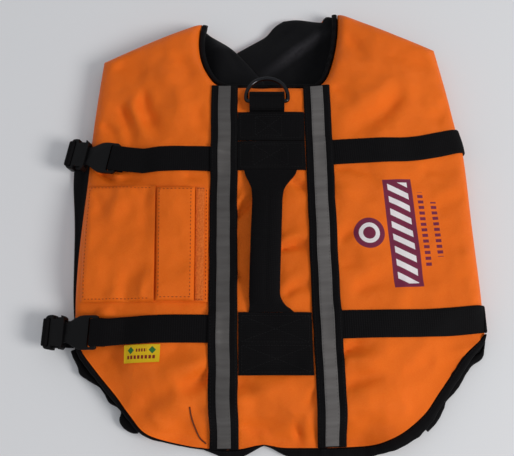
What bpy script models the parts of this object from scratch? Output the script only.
"""A dog life jacket, laid flat with its back up and its neck towards +Y.

Metres, +Z up, origin at the centre of the jacket's box on the surface that it
lies on. The pattern below is drawn in millimetres and moved to that origin.
"""

import math

import bmesh
import bpy
import numpy as np
from mathutils import Euler, Matrix, Vector
from mathutils.bvhtree import BVHTree

MM = 0.001
ORIGIN = (-3.30, 9.68)  # pattern point, in mm, that the part's origin stands on

SEAM_GAP = 0.3
LAY_GAP = 0.4  # between a panel and what lies on it
BIND_GAP = 0.9  # between an edge and the binding round it
CURVE_STEPS = 8

# Foam and cloth, mm
BELLY_THICK = 9.0
BELLY_EDGE_THICK = 4.6
BACK_LOFT = 15.0
SIDE_CROWN = 4.0
BELLY_BINDING_TOP = 8.2
BELLY_BINDING_LEAST = 1.6
FOLD_RADIUS = 17.0
FOLD_WALL = 1.5
NECK_RADIUS = 9.0
NECK_SHARE = 0.50  # of the loft that is left at the bound neck edge
HEM_REACH = 42.0
HEM_SHARE = 0.30
HEM_FLOOR = 0.8  # height of the hem over the surface
STRAP_PINCH = 0.50  # of the loft that each buckled strap presses down
WEB_THICK = 1.7
WEB_WIDTH = 25.4
BAND_WIDTH = 26.4
REFLECTIVE_WIDTH = 12.0

# Jacket outline, x and y in mm, from the shoulder to the rear corner
LEFT_SIDE = ((-174, 178), (-178, 130), (-181, 82), (-182, 42), (-185, -24), (-185, -72), (-183, -112))
RIGHT_SIDE = ((174, 192), (183, 146), (190, 104), (196, 72), (199, -3), (202, -70), (203, -106))
LEFT_NECK = ((-72, 225), (-74, 205), (-73, 186), (-68, 166), (-58, 149), (-45, 141))
RIGHT_NECK = ((73, 237), (72, 212), (69, 190), (64, 168), (57, 150), (47, 141))
# Seams run down the middle of the two reflective bands
LEFT_SEAM = ((-45, 141), (-44.4, 70), (-43, -70), (-41.5, -160), (-41, -210))
RIGHT_SEAM = ((47, 141), (48.3, 89), (50, 20), (52, -70), (55.5, -170), (57, -208))
LEFT_HEM = ((-183, -112), (-171, -127.5), (-155.5, -145.5), (-138.5, -164.5), (-125.5, -180.5), (-113, -194),
            (-97, -201), (-70, -207), (-41, -210))
RIGHT_HEM = ((203, -106), (197, -111.5), (183, -124), (169, -142), (155, -160), (142, -177), (124.5, -191.5),
             (108, -200.5), (90, -206), (57, -208))
CENTRE_HEM = ((-41, -210), (-26, -209), (-6, -205.5), (14, -208), (57, -208))

# The two chest and belly flaps, which close under the dog, left over right
LEFT_FLAP_SIDE = ((-173, 177), (-178, 130), (-182, 92), (-196, 70), (-198, 50), (-193, 0), (-189, -70),
                  (-183.5, -112))
LEFT_FLAP_NECK = ((-72, 222), (-64.5, 215), (-54, 207), (-37.5, 191), (-19, 170), (2, 142), (14, 112),
                  (16, 60), (16, -60), (16, -156))
LEFT_FLAP_HEM = ((-183.5, -112), (-176, -130), (-160, -148), (-144, -166), (-129, -181), (-113, -186),
                 (-95, -176), (-70, -166), (-35, -158), (16, -156))
RIGHT_FLAP_SIDE = ((173, 191), (182, 146), (189, 104), (195, 72), (198, -3), (201, -70), (202, -106))
RIGHT_FLAP_TOP = ((173, 191), (72, 236), (57, 231), (30, 234), (15, 232.5))
RIGHT_FLAP_NECK = ((15, 232.5), (5.5, 225.5), (-2.7, 215), (-14, 207), (-26, 199.3), (-37, 191), (-44, 172),
                   (-45, 120), (-45, -60), (-45, -156))
RIGHT_FLAP_HEM = ((202, -106), (199, -120), (185, -128), (171, -145), (157, -163), (143, -180), (124, -187),
                  (104, -177), (80, -166), (30, -157), (-45, -156))
# Outer edge of the binding on each flap, which waves where it's puckered
LEFT_BELLY_EDGE = ((-184, -129), (-180, -136), (-177.5, -143), (-168, -149), (-158.5, -154.5),
                   (-153, -161), (-148.8, -168.2), (-140.7, -172.5), (-136.6, -177), (-137, -185),
                   (-134.5, -190.5), (-127.5, -194.5), (-121, -195.5))
RIGHT_BELLY_EDGE = ((205, -107.5), (204.4, -112), (203, -120), (200.5, -127.5), (193.5, -133),
                    (188.5, -136.5), (183.3, -143.5), (178.5, -151.5), (172.3, -159), (164, -167),
                    (160.8, -174.5), (156.5, -182), (150.5, -190), (144, -197))
# Width of the hem's binding against x
HEM_WIDTHS = ((-183, 3.0), (-172, 6.0), (-140, 6.0), (-118, 2.2), (-60, 2.0), (-44, 6.5), (-30, 9.0),
              (-18, 5.5), (-5, 1.4), (4, 3.0), (10, 5.5), (18, 8.5), (60, 9.6), (110, 10.4), (150, 9.6),
              (185, 8.0), (197, 6.0), (203, 1.6))
FLAP_RISE = (-74.0, -50.0)  # x where the left flap climbs onto the right one
FLAP_RISE_END = (190.0, 214.0)  # y where it comes down again, at the neck
BACK_RISE = (-116.0, -84.0)  # x where the back climbs over it, a little earlier
BACK_FALL = (32.0, 74.0)  # x where the back comes down again off the left flap
BACK_RISE_END = (188.0, 220.0)  # y where it comes down towards the shoulders
DROOP = (168.0, 34.0, 118.0, 40.0)  # where the rear hem drops past the flaps: y, length, half width, fade
SWELL = (170.0, 100.0, 150.0, 75.0)  # the back's broad rise: half width, slope, y of its end, length

# Straps: y of the strap's middle at its inner and outer end
STRAP_COLUMNS = ("name", "x_in", "y_in", "x_out", "y_out")
BUCKLED_STRAPS = (
    ("upper", -58.2, 61.2, -124.0, 61.0),
    ("lower", -56.4, -104.2, -134.0, -104.8),
)
FOLDED_STRAPS = (
    ("upper", 63.2, 68.0, 192.5, 87.0),
    ("lower", 67.4, -100.2, 201.0, -92.0),
)
BUCKLE_COLUMNS = ("name", "x", "y", "z", "yaw", "pitch")
BUCKLES = (
    ("upper", -177.6, 69.4, 18.1, 170.0, 13.0),
    ("lower", -186.3, -105.4, 17.2, 178.5, 13.0),
)

WRAP = ((0.5, 15.4), (0.7, 11.0))  # how far outside the folded edge the strap ends, and its height there
WRAP_TURN = 1.6

# Hardware, mm
BUCKLE_THICK = 9.0
FEMALE = {"start": 3.0, "end": 22.3, "width": 32.0, "corner": 5.0}
FEMALE_SLOT = {"start": 16.6, "end": 19.4, "width": 27.0}
CAVITY = {"low": 2.4, "high": 6.6, "width": 23.4, "end": 15.0}
WINDOW = {"start": 6.2, "end": 14.2, "inner": 12.4, "link": 9.0}
SLOT_CORNER = 1.2
MALE_LOW, MALE_HIGH = 2.9, 6.1
MALE_SLOT = {"start": -24.2, "end": -20.8, "width": 27.0}
RING_WIRE = 4.0
RING_INNER = 20.8  # half width, to the middle of the wire
RING_LEG = 5.2
RING_AXIS = (-2.5, 121.5, 40.7)
RING_REST = -5.0  # degrees below level, towards the neck
TAB = {"width": 34.6, "back": 111.6, "front": 131.0, "low": 35.9, "high": 46.0, "wall": 1.7}

COLOURS = {
    "orange": ((0.66, 0.16, 0.02, 1.0), 0.72, 0.0),
    "lining": ((0.012, 0.012, 0.015, 1.0), 0.85, 0.0),
    "webbing": ((0.008, 0.008, 0.010, 1.0), 0.8, 0.0),
    "reflective": ((0.16, 0.15, 0.15, 1.0), 0.4, 0.2),
    "plastic": ((0.006, 0.006, 0.007, 1.0), 0.35, 0.0),
    "steel": ((0.10, 0.10, 0.11, 1.0), 0.3, 1.0),
    "woven_label": ((0.70, 0.46, 0.02, 1.0), 0.7, 0.0),
}


# Lines and grids -----------------------------------------------------------

def smooth_line(points):
    """Dense points on a smooth curve through the given ones."""
    knots = np.array(points, float)
    ends = np.vstack([2 * knots[0] - knots[1], knots, 2 * knots[-1] - knots[-2]])
    t = np.linspace(0, 1, CURVE_STEPS, endpoint=False)[:, None]
    runs = []
    for a, b, c, d in zip(ends, ends[1:], ends[2:], ends[3:]):
        cubic = 3 * b - a - 3 * c + d
        square = 2 * a - 5 * b + 4 * c - d
        runs.append(b + 0.5 * ((c - a) * t + square * t**2 + cubic * t**3))
    return np.vstack(runs + [knots[-1:]])


def along(line, fractions):
    """Points at the given fractions of a line's length."""
    legs = np.linalg.norm(np.diff(line, axis=0), axis=1)
    run = np.concatenate([[0.0], np.cumsum(legs)])
    run /= run[-1]
    axes = [np.interp(fractions, run, line[:, k]) for k in range(line.shape[1])]
    return np.stack(axes, axis=1)


def length(line):
    return float(np.linalg.norm(np.diff(line, axis=0), axis=1).sum())


def spread(size, start, end, step):
    """Fractions of a size: close steps at the two ends, even steps between."""
    first = np.array(start, float)
    last = size - np.array(end, float)[::-1]
    count = max(2, round((last[0] - first[-1]) / step) + 1)
    middle = np.linspace(first[-1], last[0], count)[1:-1]
    return np.concatenate([first, middle, last]) / size


def two_part(first, second, share, fractions):
    """Points down two joined lines, the first of which takes the given share."""
    before = (fractions < share)[:, None]
    return np.where(before, along(first, fractions / share), along(second, (fractions - share) / (1 - share)))


def patch(left, right, top, bottom, across, down):
    """A grid between four edge lines that share their corners."""
    sides = along(left, down), along(right, down)
    ends = along(top, across), along(bottom, across)
    return filled(*sides, *ends, across, down)


def filled(left, right, top, bottom, across, down):
    """A grid between four rows of edge points."""
    u = across[None, :, None]
    v = down[:, None, None]
    ruled = (1 - u) * left[:, None] + u * right[:, None] + (1 - v) * top[None] + v * bottom[None]
    first = (1 - u) * top[0] + u * top[-1]
    last = (1 - u) * bottom[0] + u * bottom[-1]
    return ruled - (1 - v) * first - v * last


def distance(grid, line):
    """How far each grid point is from a line."""
    start = line[:-1]
    leg = line[1:] - start
    span = np.maximum((leg**2).sum(axis=1), 1e-9)
    rel = grid[..., None, :2] - start
    t = np.clip((rel * leg).sum(axis=-1) / span, 0, 1)
    return np.linalg.norm(rel - t[..., None] * leg, axis=-1).min(axis=-1)


def rounding(gap, radius):
    """0 at an edge to 1 a radius inside it, as a quarter circle."""
    inside = 1 - np.clip(gap / radius, 0, 1)
    return np.sqrt(np.clip(1 - inside**2, 0, 1))


def ease(value):
    t = np.clip(value, 0, 1)
    return t * t * (3 - 2 * t)


def offset(line, amount):
    """A line moved to its left side (positive) in the plane."""
    tangent = np.gradient(line, axis=0)
    tangent /= np.linalg.norm(tangent, axis=1)[:, None]
    return line + amount * np.stack([-tangent[:, 1], tangent[:, 0]], axis=1)


# The jacket's heights --------------------------------------------------------

LEFT_FOLD = np.vstack([smooth_line(LEFT_SIDE)[::-1], [LEFT_NECK[0]]])
RIGHT_FOLD = np.vstack([smooth_line(RIGHT_SIDE)[::-1], [RIGHT_NECK[0]]])
NECK = np.vstack([smooth_line(LEFT_NECK), smooth_line(RIGHT_NECK)[::-1]])
HEM = np.vstack([smooth_line(LEFT_HEM), smooth_line(CENTRE_HEM)[1:], smooth_line(RIGHT_HEM)[::-1][1:]])


def step_up(x, ends):
    return ease((x - ends[0]) / (ends[1] - ends[0]))


def on_flaps(grid):
    """1 where the back lies on the flaps, 0 where its hem has dropped past them."""
    start, run, half, fade = DROOP
    return 1 - ease((-grid[..., 1] - start) / run) * ease((half - np.abs(grid[..., 0])) / fade)


def base_height(grid):
    """Underside of the back, which lies on the two flaps."""
    x, y = grid[..., 0], grid[..., 1]
    layer = BELLY_THICK + SEAM_GAP
    overlap = step_up(x, BACK_RISE) * (1 - step_up(x, BACK_FALL)) * (1 - step_up(y, BACK_RISE_END))
    return HEM_FLOOR + (layer + 0.1 - HEM_FLOOR + layer * overlap) * on_flaps(grid)


def swell(grid):
    """The smooth rise of the back over the flaps below it."""
    half, slope, end, run = SWELL
    layer = BELLY_THICK + SEAM_GAP
    over = ease((half - np.abs(grid[..., 0])) / slope) * (1 - ease((grid[..., 1] - end) / run))
    return HEM_FLOOR + (layer + 0.1 - HEM_FLOOR + layer * over) * on_flaps(grid)


def pinch(grid):
    """How much of the loft the buckled straps leave at the left edge."""
    x, y = grid[..., 0], grid[..., 1]
    near = ease((-105 - x) / 45)
    left = np.ones_like(x)
    for row in BUCKLED_STRAPS:
        strap = dict(zip(STRAP_COLUMNS, row))
        left -= STRAP_PINCH * near * np.exp(-(((y - strap["y_out"]) / 24) ** 2))
    return left


def back_height(grid):
    """Top of the padded back and side panels."""
    x = grid[..., 0]
    crown = SIDE_CROWN * np.sin(np.pi * np.clip((np.abs(x) - 45) / 135, 0, 1))
    fold = np.minimum(distance(grid, LEFT_FOLD), distance(grid, RIGHT_FOLD))
    neck = NECK_SHARE + (1 - NECK_SHARE) * rounding(distance(grid, NECK), NECK_RADIUS)
    hem = HEM_SHARE + (1 - HEM_SHARE) * ease(distance(grid, HEM) / HEM_REACH)
    loft = (BACK_LOFT + crown) * rounding(fold, FOLD_RADIUS) * neck * hem * pinch(grid)
    return swell(grid) + FOLD_WALL + loft


def lift(grid, height):
    """A flat grid with its heights added."""
    z = np.broadcast_to(np.asarray(height, float), grid.shape[:2])
    return np.concatenate([grid, z[..., None]], axis=-1)


# Meshes ----------------------------------------------------------------------

def material(name):
    found = bpy.data.materials.get(name)
    if found:
        return found
    colour, roughness, metallic = COLOURS[name]
    made = bpy.data.materials.new(name)
    made.use_nodes = True
    shader = made.node_tree.nodes["Principled BSDF"]
    shader.inputs["Base Color"].default_value = colour
    shader.inputs["Roughness"].default_value = roughness
    shader.inputs["Metallic"].default_value = metallic
    made.diffuse_color = colour
    return made


def add_object(name, points, faces, finish, smooth_angle=40):
    """A closed mesh from pattern points in mm, with its faces turned out."""
    moved = [((x - ORIGIN[0]) * MM, (y - ORIGIN[1]) * MM, z * MM) for x, y, z in points]
    mesh = bpy.data.meshes.new(name)
    mesh.from_pydata(moved, [], faces)
    shape = bmesh.new()
    shape.from_mesh(mesh)
    bmesh.ops.recalc_face_normals(shape, faces=shape.faces)
    bmesh.ops.triangulate(shape, faces=shape.faces)
    shape.to_mesh(mesh)
    shape.free()
    mesh.materials.append(material(finish))
    mesh.shade_smooth()
    mesh.set_sharp_from_angle(angle=math.radians(smooth_angle))
    made = bpy.data.objects.new(name, mesh)
    bpy.context.scene.collection.objects.link(made)
    return made


def slab(name, low, high, finish):
    """A closed solid between two grids of the same size."""
    rows, columns = low.shape[:2]
    points = np.vstack([low.reshape(-1, 3), high.reshape(-1, 3)])
    top = rows * columns
    faces = []
    for r in range(rows - 1):
        for c in range(columns - 1):
            a = r * columns + c
            quad = (a, a + 1, a + columns + 1, a + columns)
            faces.append(quad)
            faces.append(tuple(top + k for k in reversed(quad)))
    rim = [c for c in range(columns)]
    rim += [r * columns + columns - 1 for r in range(1, rows)]
    rim += [(rows - 1) * columns + c for c in range(columns - 2, -1, -1)]
    rim += [r * columns for r in range(rows - 2, 0, -1)]
    for a, b in zip(rim, rim[1:] + rim[:1]):
        faces.append((b, a, top + a, top + b))
    return add_object(name, points.tolist(), faces, finish)


def ribbon(name, under, thick, finish):
    """Webbing or cloth laid on the points of what is under it."""
    down = np.gradient(under, axis=0)
    across = np.gradient(under, axis=1)
    normal = np.cross(across, down)
    normal /= np.linalg.norm(normal, axis=-1)[..., None]
    highest = under[..., 2].mean(axis=1).argmax()
    if normal[highest, :, 2].mean() < 0:
        normal = -normal
    return slab(name, under, under + normal * thick, finish)


def sweep(name, path, widths, lows, highs, finish):
    """A strip with a rounded section, level across, along a line in the plane."""
    corners = ((-0.5, 0.3), (-0.3, 0.0), (0.3, 0.0), (0.5, 0.3), (0.42, 0.8), (0.0, 1.0), (-0.42, 0.8))
    tangent = np.gradient(path, axis=0)
    tangent /= np.linalg.norm(tangent, axis=1)[:, None]
    side = np.stack([-tangent[:, 1], tangent[:, 0]], axis=1)
    points = []
    for centre, normal, width, low, high in zip(path, side, widths, lows, highs):
        for across, up in corners:
            x, y = centre + normal * across * width
            points.append((x, y, low + up * (high - low)))
    count = len(corners)
    faces = [tuple(range(count)), tuple(range(len(points) - count, len(points)))[::-1]]
    for r in range(len(path) - 1):
        for c in range(count):
            a, b = r * count + c, r * count + (c + 1) % count
            faces.append((a, a + count, b + count, b))
    return add_object(name, points, faces, finish)


def ground(objects):
    """A surface to lay things on, in pattern millimetres."""
    points, faces = [], []
    for piece in objects:
        start = len(points)
        for vertex in piece.data.vertices:
            x, y, z = vertex.co / MM
            points.append((x + ORIGIN[0], y + ORIGIN[1], z))
        faces += [[start + k for k in face.vertices] for face in piece.data.polygons]
    return BVHTree.FromPolygons(points, faces)


def drape(surface, grid, reach, gap=LAY_GAP):
    """The grid laid on a surface, over its highest point within reach."""
    heights = np.zeros(grid.shape[:2])
    offsets = [(dx, dy) for dx in (-reach, 0, reach) for dy in (-reach, 0, reach)]
    for index in np.ndindex(heights.shape):
        x, y = grid[index][:2]
        for dx, dy in offsets:
            hit = surface.ray_cast(Vector((x + dx, y + dy, 200)), Vector((0, 0, -1)))[0]
            if hit:
                heights[index] = max(heights[index], hit.z)
    return lift(grid, heights + gap)


def strip_grid(line, stations, offsets):
    """Rows square to a line, one point at each sideways offset."""
    dense = along(line, stations)
    tangent = np.gradient(dense, axis=0)
    tangent /= np.linalg.norm(tangent, axis=1)[:, None]
    side = np.stack([-tangent[:, 1], tangent[:, 0]], axis=1)
    return dense[:, None] + side[:, None] * np.array(offsets, float)[None, :, None]


def rectangle(x_from, x_to, y_from, y_to, step):
    """A flat grid over a rectangle whose ends may slant: each end is (top, bottom)."""
    width = abs(x_to[0] - x_from[0])
    height = abs(y_to[0] - y_from[0])
    across = np.linspace(0, 1, max(2, round(width / step) + 1))
    down = np.linspace(0, 1, max(2, round(height / step) + 1))
    left = np.array([(x_from[0], y_from[0]), (x_from[1], y_to[0])], float)
    right = np.array([(x_to[0], y_from[1]), (x_to[1], y_to[1])], float)
    top = np.array([left[0], right[0]])
    bottom = np.array([left[1], right[1]])
    return patch(left, right, top, bottom, across, down)


# Panels ------------------------------------------------------------------------

FOLD_STEPS = (0.0, 1.4, 5.0, 11.0, 20.0)
SOFT_STEPS = (0.0, 3.0, 8.0, 16.0)
SEAM_STEPS = (0.0, 12.0)
NECK_ROWS = 0.34  # share of a side panel's rows that end at its neck edge


def back_panel(name, grid):
    low = lift(grid, base_height(grid))
    return slab(name, low, lift(grid, back_height(grid)), "orange")


def side_panel(name, side, neck, seam, hem, turn):
    """A side panel: its neck edge and seam on one side, its fold on the other."""
    across = spread(130, SEAM_STEPS, FOLD_STEPS, 24)
    down = spread(380, FOLD_STEPS, SOFT_STEPS, 21)
    share = down[np.abs(down - NECK_ROWS).argmin()]
    neck, seam, side = smooth_line(neck), smooth_line(seam), smooth_line(side)
    neck[:, 0] += turn * SEAM_GAP / 2
    seam[:, 0] += turn * SEAM_GAP / 2
    inner = two_part(neck, seam, share, down)
    outer = along(side, down)
    shoulder = along(np.array([inner[0], outer[0]]), across)
    rear = smooth_line(hem)[::-1]
    rear[0] = inner[-1]
    return back_panel(name, filled(inner, outer, shoulder, along(rear, across), across, down))


def back_centre():
    left = smooth_line(LEFT_SEAM)
    right = smooth_line(RIGHT_SEAM)
    left[:, 0] += SEAM_GAP / 2
    right[:, 0] -= SEAM_GAP / 2
    top = np.array([left[0], right[0]])
    bottom = smooth_line(CENTRE_HEM)
    bottom[0], bottom[-1] = left[-1], right[-1]
    across = np.linspace(0, 1, 7)
    down = spread(350, SOFT_STEPS, SOFT_STEPS, 24)
    return back_panel("back_centre", patch(left, right, top, bottom, across, down))


def flap(name, grid, outline, rise):
    """A belly flap: flat below, its edges rounded, and thin at its bound side."""
    edge = distance(grid, outline)
    x = grid[..., 0]
    thin = BELLY_EDGE_THICK / BELLY_THICK
    thick = BELLY_THICK * (thin + (1 - thin) * ease((x + 190) / 12))
    low = rise + 3.2 * (1 - rounding(edge, 5.0))
    high = rise + np.maximum(thick - 2.2 * (1 - rounding(edge, 5.0)), 4.2)
    return slab(name, lift(grid, low), lift(grid, high), "lining")


def flap_left():
    left, right = smooth_line(LEFT_FLAP_SIDE), smooth_line(LEFT_FLAP_NECK)
    top = np.array([left[0], right[0]])
    bottom = smooth_line(LEFT_FLAP_HEM)
    across = spread(190, (0, 1.5, 5, 12), (0, 1.5, 5), 14)
    down = spread(350, (0, 1.5, 5), (0, 1.5, 5), 34)
    grid = patch(left, right, top, bottom, across, down)
    outline = np.vstack([left, bottom, right[::-1], top[::-1]])
    climbed = step_up(grid[..., 0], FLAP_RISE) * (1 - step_up(grid[..., 1], FLAP_RISE_END))
    rise = (BELLY_THICK + SEAM_GAP) * climbed
    return flap("belly_flap_left", grid, outline, rise)


def flap_right():
    right, left = smooth_line(RIGHT_FLAP_SIDE), smooth_line(RIGHT_FLAP_NECK)
    top = smooth_line(RIGHT_FLAP_TOP)[::-1]
    bottom = smooth_line(RIGHT_FLAP_HEM)[::-1]
    across = spread(220, (0, 1.5, 5), (0, 1.5, 5), 30)
    down = spread(350, (0, 1.5, 5), (0, 1.5, 5), 34)
    grid = patch(left, right, top, bottom, across, down)
    outline = np.vstack([left, bottom, right[::-1], top[::-1]])
    return flap("belly_flap_right", grid, outline, np.zeros(grid.shape[:2]))


# Bindings and bands --------------------------------------------------------------

def neck_binding():
    line = along(NECK, spread(length(NECK), (3, 9), (3, 9), 9))
    path = offset(line, 2.8 + BIND_GAP)
    lows = base_height(path) + 0.1
    highs = back_height(line) + 1.4
    return sweep("neck_binding", path, np.full(len(path), 5.0), lows, highs, "webbing")


def hem_binding():
    line = along(HEM, spread(length(HEM), (4, 10, 17), (3, 10), 13))
    widths = np.interp(line[:, 0], *np.array(HEM_WIDTHS).T)
    path = line + (offset(line, -1.0) - line) * (widths / 2 + BIND_GAP)[:, None]
    lows = base_height(path) + 0.1
    highs = lows + 6.4
    return sweep("hem_binding", path, widths, lows, highs, "webbing")


def belly_binding(name, hem, edge):
    """The binding on a flap's rear edge, from the flap out to a waving line."""
    line = smooth_line(edge)
    outer = along(line, spread(length(line), (0, 4), (0, 4), 9))
    gaps = np.linalg.norm(outer[:, None] - hem[None], axis=2)
    nearest = hem[gaps.argmin(axis=1)]
    gap = gaps.min(axis=1)
    widths = np.maximum(gap - BIND_GAP - 0.4, BELLY_BINDING_LEAST)
    path = outer + (nearest - outer) * (widths / 2 / gap)[:, None]
    count = len(path)
    return sweep(name, path, widths, np.full(count, 0.4), np.full(count, BELLY_BINDING_TOP), "webbing")


def band(side, seam, surface):
    """The webbing band over a seam, and the reflective strip sewn on it."""
    line = smooth_line(seam)
    stations = spread(length(line), (0.5, 5), (0.5, 5, 12), 14)
    half = BAND_WIDTH / 2
    grid = strip_grid(line, stations, (-half, -half / 2, 0, half / 2, half))
    web = ribbon(f"band_{side}", drape(surface, grid, 3.8), WEB_THICK, "webbing")
    stations = spread(length(line), (1.5, 9), (1.5, 9), 16)
    half = REFLECTIVE_WIDTH / 2
    grid = strip_grid(line, stations, (-half, 0, half))
    strip = ribbon(f"reflective_{side}", drape(ground([web]), grid, 5.0, 0.6), 0.8, "reflective")
    return [web, strip]


# Straps and buckles ----------------------------------------------------------------

def buckle_place(name):
    row = next(dict(zip(BUCKLE_COLUMNS, r)) for r in BUCKLES if r[0] == name)
    yaw = Matrix.Rotation(math.radians(row["yaw"]), 4, "Z")
    pitch = Matrix.Rotation(math.radians(row["pitch"]), 4, "Y")
    return Matrix.Translation((row["x"], row["y"], row["z"])) @ yaw @ pitch


def placed(matrix, points):
    return np.array([list(matrix @ Vector(p)) for p in points])


def plate(name, outline, low, high):
    """A plastic plate with the given outline, from low to high."""
    count = len(outline)
    points = [(x, y, low) for x, y in outline] + [(x, y, high) for x, y in outline]
    faces = [tuple(range(count))[::-1], tuple(range(count, 2 * count))]
    faces += [(k, (k + 1) % count, count + (k + 1) % count, count + k) for k in range(count)]
    return add_object(name, points, faces, "plastic", 35)


def settle(node, matrix):
    """Moves a piece made about the pattern's zero point to its place."""
    to_frame = Matrix.Scale(MM, 4) @ Matrix.Translation((-ORIGIN[0], -ORIGIN[1], 0))
    node.data.transform(to_frame @ matrix @ to_frame.inverted())


def round_corners(points, radius, steps=3):
    """A closed outline with its corners rounded, each as a short curve."""
    rounded = []
    count = len(points)
    for k in range(count):
        before, here, after = (Vector(points[(k + j) % count]) for j in (-1, 0, 1))
        reach = min(radius, 0.45 * (before - here).length, 0.45 * (after - here).length)
        start = here + (before - here).normalized() * reach
        end = here + (after - here).normalized() * reach
        for j in range(steps + 1):
            t = j / steps
            rounded.append((1 - t) ** 2 * start + 2 * t * (1 - t) * here + t**2 * end)
    return [tuple(p) for p in rounded]


def box_outline(x_from, x_to, half):
    return [(x_from, -half), (x_to, -half), (x_to, half), (x_from, half)]


def cut(target, cutters):
    """Cuts the cutters out of the target and removes them."""
    for cutter in cutters:
        step = target.modifiers.new("cut", "BOOLEAN")
        step.operation = "DIFFERENCE"
        step.solver = "EXACT"
        step.object = cutter
        with bpy.context.temp_override(object=target, active_object=target):
            bpy.ops.object.modifier_apply(modifier=step.name)
        bpy.data.objects.remove(cutter)
    shape = bmesh.new()
    shape.from_mesh(target.data)
    bmesh.ops.triangulate(shape, faces=shape.faces)
    shape.to_mesh(target.data)
    shape.free()


def buckle_female(name):
    half = FEMALE["width"] / 2
    body = round_corners(box_outline(FEMALE["start"], FEMALE["end"], half), FEMALE["corner"])
    node = plate(f"buckle_{name}_female", body, 0, BUCKLE_THICK)
    slot = box_outline(FEMALE_SLOT["start"], FEMALE_SLOT["end"], FEMALE_SLOT["width"] / 2)
    mouth = box_outline(0, CAVITY["end"], CAVITY["width"] / 2)
    cutters = [
        plate("slot", round_corners(slot, SLOT_CORNER, 2), -1, BUCKLE_THICK + 1),
        plate("mouth", mouth, CAVITY["low"], CAVITY["high"]),
    ]
    for side in (-1, 1):
        window = side_outline(WINDOW["start"], WINDOW["end"], side * WINDOW["inner"], side * (half + 1))
        cutters.append(plate("window", window, -1, BUCKLE_THICK + 1))
        link = side_outline(
            WINDOW["start"] + 0.4, WINDOW["end"] - 0.4, side * WINDOW["link"], side * (WINDOW["inner"] + 1))
        cutters.append(plate("link", link, CAVITY["low"] + 0.1, CAVITY["high"] - 0.1))
    cut(node, cutters)
    settle(node, buckle_place(name))


def side_outline(x_from, x_to, y_inner, y_outer):
    return [(x_from, y_inner), (x_to, y_inner), (x_to, y_outer), (x_from, y_outer)]


MALE_HALF_OUTLINE = (
    # x, y: from the web bar round the frame, its shoulder, the waist and one spring arm
    (-29.6, 0.0), (-29.6, 14.6), (-27.8, 15.8), (-16.0, 16.0), (-11.0, 15.2), (-6.0, 12.8),
    (-2.0, 10.4), (1.5, 9.2), (4.0, 10.4), (6.8, 10.8), (7.2, 14.4), (12.2, 14.4), (13.4, 10.4),
    (13.0, 8.0), (7.0, 7.0), (3.6, 3.4), (13.6, 3.2), (13.6, 0.0),
)


def buckle_male(name):
    upper = MALE_HALF_OUTLINE[1:-1]
    outline = [(x, -y) for x, y in upper] + list(upper[::-1])
    node = plate(f"buckle_{name}_male", outline, MALE_LOW, MALE_HIGH)
    slot = box_outline(MALE_SLOT["start"], MALE_SLOT["end"], MALE_SLOT["width"] / 2)
    cut(node, [plate("slot", round_corners(slot, SLOT_CORNER, 2), 0, BUCKLE_THICK)])
    settle(node, buckle_place(name))


LOOP_COLUMNS = ("x", "z")
MALE_LOOP = (
    # the web comes over the male bar, down its slot and back below it
    (-40.0, 5.2), (-34.0, 6.2), (-29.4, 6.7), (-26.0, 6.7), (-24.4, 6.5), (-23.7, 5.7), (-23.7, 3.3),
    (-24.4, 2.5), (-26.0, 2.4), (-29.6, 2.4), (-33.0, 2.4), (-37.0, 2.4),
)
FEMALE_LOOP = (
    # the web comes down the female slot and round its bar
    (18.9, 4.6), (18.9, 8.2), (19.4, 9.3), (20.8, 9.6), (22.2, 9.3), (22.8, 8.2), (22.8, 0.8), (22.2, -0.3),
    (20.8, -0.7),
)
FEMALE_TAIL = {
    # then down to the edge of the belly flap
    "upper": ((17.0, -2.0), (13.0, -4.4), (10.5, -6.4), (9.0, -7.6)),
    "lower": ((17.0, -2.2), (12.0, -4.8), (7.0, -7.2), (2.5, -9.0), (0.5, -9.5)),
}


def loop_rows(points, matrix, half):
    rows = []
    for row in points:
        loop = dict(zip(LOOP_COLUMNS, row))
        rows.append(placed(matrix, [(loop["x"], side * half, loop["z"]) for side in (-1, 0, 1)]))
    return np.array(rows)


def buckled_strap(row, surface):
    """The strap on the left side, from its band to the buckle's male bar."""
    strap = dict(zip(STRAP_COLUMNS, row))
    line = np.array([(strap["x_in"], strap["y_in"]), (strap["x_out"], strap["y_out"])], float)
    half = WEB_WIDTH / 2
    grid = strip_grid(line, np.linspace(0, 1, 10), (-half, 0, half))
    laid = drape(surface, grid, 5.0)
    loop = loop_rows(MALE_LOOP, buckle_place(strap["name"]), half)
    if (loop[0, 0, 1] - loop[0, 2, 1]) * (laid[0, 0, 1] - laid[0, 2, 1]) < 0:
        loop = loop[:, ::-1]
    return ribbon(f"strap_{strap['name']}_left", np.concatenate([laid, loop]), WEB_THICK - 0.2, "webbing")


def belly_strap(name):
    """The short web that holds the female half to the belly flap."""
    rows = loop_rows(FEMALE_LOOP + FEMALE_TAIL[name], buckle_place(name), WEB_WIDTH / 2)
    return ribbon(f"belly_strap_{name}", rows, WEB_THICK - 0.4, "webbing")


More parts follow.
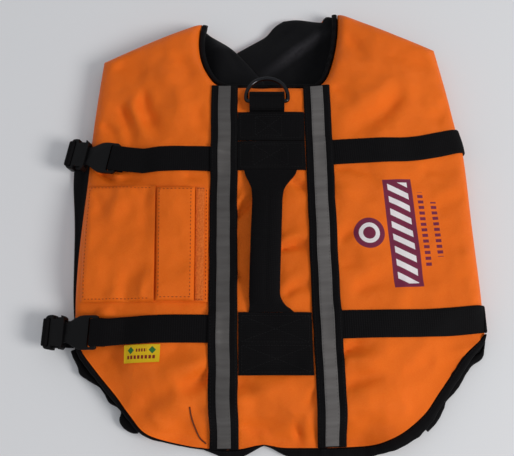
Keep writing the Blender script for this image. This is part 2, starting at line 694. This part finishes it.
def folded_strap(row, surface):
    """The strap on the right side, from its band over the folded edge."""
    strap = dict(zip(STRAP_COLUMNS, row))
    start = np.array([strap["x_in"], strap["y_in"]])
    end = np.array([strap["x_out"], strap["y_out"]])
    bend = start + (end - start) * (0.62, 0.34)
    line = smooth_line([start, bend, end])
    half = WEB_WIDTH / 2
    stations = spread(length(line), (0, 10), (0, 3, 7, 12), 13)
    grid = strip_grid(line, stations, (-half, 0, half))
    laid = drape(surface, grid, 1.5)
    edge = smooth_line(RIGHT_SIDE)
    wrap = []
    for outward, z in WRAP:
        row_points = []
        for x, y, _ in laid[-1]:
            at_edge = np.interp(-y, -edge[:, 1], edge[:, 0])
            row_points.append((at_edge + outward, y, z))
        wrap.append(row_points)
    laid[-1, :, 0] = [p[0] - WRAP_TURN for p in wrap[0]]
    relaid = drape(surface, laid[-1:, :, :2], 1.0)
    rows = np.concatenate([laid[:-1], relaid, np.array(wrap)])
    return ribbon(f"strap_{strap['name']}_right", rows, WEB_THICK, "webbing")


# What is sewn on the back --------------------------------------------------------------

def handle_bases(surface):
    """The two rows of webbing above the handle and the block below it."""
    blocks = (
        # name, x left, x right at top and bottom, y top, y bottom
        ("handle_base_front", (-31.4, -31.2), (34.2, 34.6), 110.9, 81.2),
        ("handle_base_middle", (-31.2, -30.8), (34.6, 35.4), 80.4, 50.2),
        ("handle_base_rear", (-28.6, -27.8), (38.4, 40.0), -89.0, -145.6),
    )
    made = []
    for name, left, right, top, bottom in blocks:
        grid = rectangle(left, right, (top, top), (bottom, bottom), 8.5)
        made.append(ribbon(name, drape(surface, grid, 4.3), 2.4, "webbing"))
    return made


HANDLE_COLUMNS = ("y", "x_left", "x_right", "rise")
HANDLE = (
    # rise is the gap below the handle, over the back
    (49.6, -24.5, 26.5, 0.5),
    (44.0, -23.0, 24.0, 1.2),
    (36.0, -19.5, 18.0, 3.6),
    (28.0, -16.8, 13.6, 6.2),
    (18.0, -15.6, 11.6, 8.6),
    (4.0, -15.8, 11.0, 10.6),
    (-14.0, -16.4, 10.4, 11.6),
    (-32.0, -16.9, 9.8, 11.4),
    (-50.0, -17.4, 9.2, 10.0),
    (-64.0, -17.7, 8.9, 7.4),
    (-74.0, -17.9, 9.2, 4.8),
    (-81.0, -18.0, 13.0, 2.6),
    (-85.0, -18.6, 18.5, 1.4),
    (-88.4, -19.0, 22.5, 0.6),
)


def handle():
    rows = []
    for row in HANDLE:
        step = dict(zip(HANDLE_COLUMNS, row))
        xs = np.linspace(step["x_left"], step["x_right"], 4)
        flat = np.array([[(x, step["y"]) for x in xs]])
        rows.append(lift(flat, back_height(flat).max() + step["rise"])[0])
    return ribbon("handle", np.array(rows), 3.6, "webbing")


def dring_tab():
    """The web loop that holds the ring's straight side: a loop with a slot through it."""
    half = TAB["width"] / 2
    centre = RING_AXIS[0]
    radius = (TAB["high"] - TAB["low"]) / 2
    middle = TAB["low"] + radius
    outer, inner = [], []
    for k in range(9):
        angle = math.radians(-90 + 180 * k / 8)
        reach = TAB["front"] - radius
        outer.append((reach + radius * math.cos(angle), middle + radius * math.sin(angle)))
        inside = radius - TAB["wall"]
        inner.append((reach + inside * math.cos(angle), middle + inside * math.sin(angle)))
    outer += [(TAB["back"] + 3, TAB["low"] + 8.0), (TAB["back"], TAB["low"] + 4.4), (TAB["back"], TAB["low"])]
    inner += [(TAB["back"] + 5, TAB["low"] + 6.6), (TAB["back"] + 5, TAB["low"] + TAB["wall"])]
    return [profile_solid("dring_tab", outer, centre - half, centre + half),
            profile_solid("hole", inner, centre - half - 2, centre + half + 2)]


def profile_solid(name, profile, x_from, x_to):
    """A profile in the YZ plane, drawn out along X."""
    count = len(profile)
    points = [(x_from, y, z) for y, z in profile] + [(x_to, y, z) for y, z in profile]
    faces = [tuple(range(count))[::-1], tuple(range(count, 2 * count))]
    faces += [(k, (k + 1) % count, count + (k + 1) % count, count + k) for k in range(count)]
    return add_object(name, points, faces, "webbing")


def dring():
    """The steel D-ring, its straight side on the joint's axis along X."""
    path = [(x, 0.0) for x in np.linspace(-RING_INNER + 3, RING_INNER - 3, 6)]
    path += [(RING_INNER - 0.9, 0.9), (RING_INNER, 3.0), (RING_INNER, RING_LEG)]
    for k in range(1, 16):
        angle = math.pi * k / 16
        path.append((RING_INNER * math.cos(angle), RING_LEG + RING_INNER * math.sin(angle)))
    path += [(-RING_INNER, RING_LEG), (-RING_INNER, 3.0), (-RING_INNER + 0.9, 0.9)]
    line = np.array(path)
    tangent = np.roll(line, -1, axis=0) - np.roll(line, 1, axis=0)
    tangent /= np.linalg.norm(tangent, axis=1)[:, None]
    side = np.stack([-tangent[:, 1], tangent[:, 0]], axis=1)
    turn = Euler((math.radians(RING_REST), 0, 0)).to_matrix()
    points, sides = [], 8
    for centre, normal in zip(line, side):
        for k in range(sides):
            angle = 2 * math.pi * (k + 0.5) / sides
            flat = centre + normal * RING_WIRE / 2 * math.cos(angle)
            local = turn @ Vector((flat[0], flat[1], RING_WIRE / 2 * math.sin(angle)))
            points.append(tuple(local))
    count = len(line)
    faces = []
    for r in range(count):
        for c in range(sides):
            a, b = r * sides + c, r * sides + (c + 1) % sides
            n = (r + 1) % count * sides
            faces.append((a, n + c, n + (c + 1) % sides, b))
    moved = [tuple(np.add(p, RING_AXIS)) for p in points]
    return add_object("dring", moved, faces, "steel")


def pocket(surface):
    """The pocket on the left side: its bag, and the flap that closes onto it."""
    base_grid = rectangle((-111.4, -108.4), (-58.6, -57.0), (31.6, 31.4), (-79.4, -79.8), 9.0)
    base = ribbon("pocket_base", drape(surface, base_grid, 4.5), 1.2, "orange")
    grid = rectangle((-178.6, -177.4), (-112.2, -109.2), (38.0, 34.4), (-78.0, -79.4), 8.0)
    laid = drape(surface, grid, 4.0)
    rows, columns = laid.shape[:2]
    u = np.linspace(0, 1, columns)[None, :]
    v = np.linspace(0, 1, rows)[:, None]
    at_outer_edge = np.minimum(1, 6 * u)
    at_flap = np.minimum(1, 0.55 + 6 * (1 - u))
    puff = 1.4 + 3.6 * np.minimum(1, 3.2 * np.sin(np.pi * v)) * at_outer_edge * at_flap
    high = laid.copy()
    high[..., 2] += puff
    bag = slab("pocket_bag", laid, high, "orange")
    above = ground([base])
    flap_grid = rectangle((-107.8, -104.2), (-71.0, -69.2), (31.0, 30.6), (-78.6, -78.8), 8.5)
    cover = ribbon("pocket_flap", drape(above, flap_grid, 4.3, 0.5), 3.2, "orange")
    hook_grid = rectangle((-70.2, -68.4), (-62.2, -60.6), (30.8, 30.8), (-78.6, -78.6), 9.0)
    hook = ribbon("pocket_hook_strip", drape(above, hook_grid, 4.5, SEAM_GAP), 1.4, "orange")
    return [base, bag, cover, hook]


def label(surface):
    grid = rectangle((-132.6, -132.2), (-98.6, -98.8), (-118.2, -117.8), (-134.4, -133.8), 6.0)
    return ribbon("label", drape(surface, grid, 3.2), 0.9, "woven_label")


def main():
    for old in list(bpy.data.objects):
        bpy.data.objects.remove(old)
    flap_left()
    flap_right()
    panels = [
        side_panel("side_left", LEFT_SIDE, LEFT_NECK, LEFT_SEAM, LEFT_HEM, -1),
        back_centre(),
        side_panel("side_right", RIGHT_SIDE, RIGHT_NECK, RIGHT_SEAM, RIGHT_HEM, 1),
    ]
    neck_binding()
    hem_binding()
    belly_binding("belly_binding_left", smooth_line(LEFT_FLAP_HEM), LEFT_BELLY_EDGE)
    belly_binding("belly_binding_right", smooth_line(RIGHT_FLAP_HEM), RIGHT_BELLY_EDGE)
    surface = ground(panels)
    straps = [buckled_strap(row, surface) for row in BUCKLED_STRAPS]
    straps += [folded_strap(row, surface) for row in FOLDED_STRAPS]
    label(surface)
    pocket(surface)
    handle_bases(surface)
    covered = ground(panels + straps)
    band("left", LEFT_SEAM, covered)
    band("right", RIGHT_SEAM, covered)
    handle()
    tab, hole = dring_tab()
    cut(tab, [hole])
    dring()
    for row in BUCKLES:
        buckle_female(row[0])
        buckle_male(row[0])
        belly_strap(row[0])


main()
